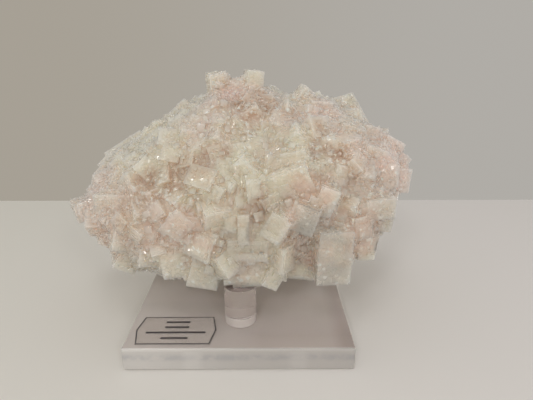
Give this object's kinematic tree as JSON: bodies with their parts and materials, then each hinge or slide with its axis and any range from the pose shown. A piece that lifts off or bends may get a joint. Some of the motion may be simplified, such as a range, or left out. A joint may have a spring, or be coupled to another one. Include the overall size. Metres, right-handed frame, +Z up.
{
  "type": "halite crystal cluster on acrylic stand",
  "caption": "Cluster of intergrown pink and cream cubic halite crystals resting on pegs of a square clear acrylic display base with a small film label.",
  "frame": {"origin": "middle of the stand's underside, on the surface that it stands on", "axes": "+Z up, +X to the right along the specimen's longest side, -Y towards the front edge with the label"},
  "size_m": [0.1732, 0.1176, 0.1244],
  "materials": {
    "clear_acrylic": "clear and polished",
    "halite": "translucent, frosted, pale pink to cream",
    "label_film": "clear film with a thin black border"
  },
  "bodies": {
    "root": {"base_plate": "clear_acrylic", "peg_front": "clear_acrylic", "peg_rear_left": "clear_acrylic", "peg_rear_right": "clear_acrylic", "label": "label_film", "halite_cluster": "halite"}
  },
  "joints": []
}
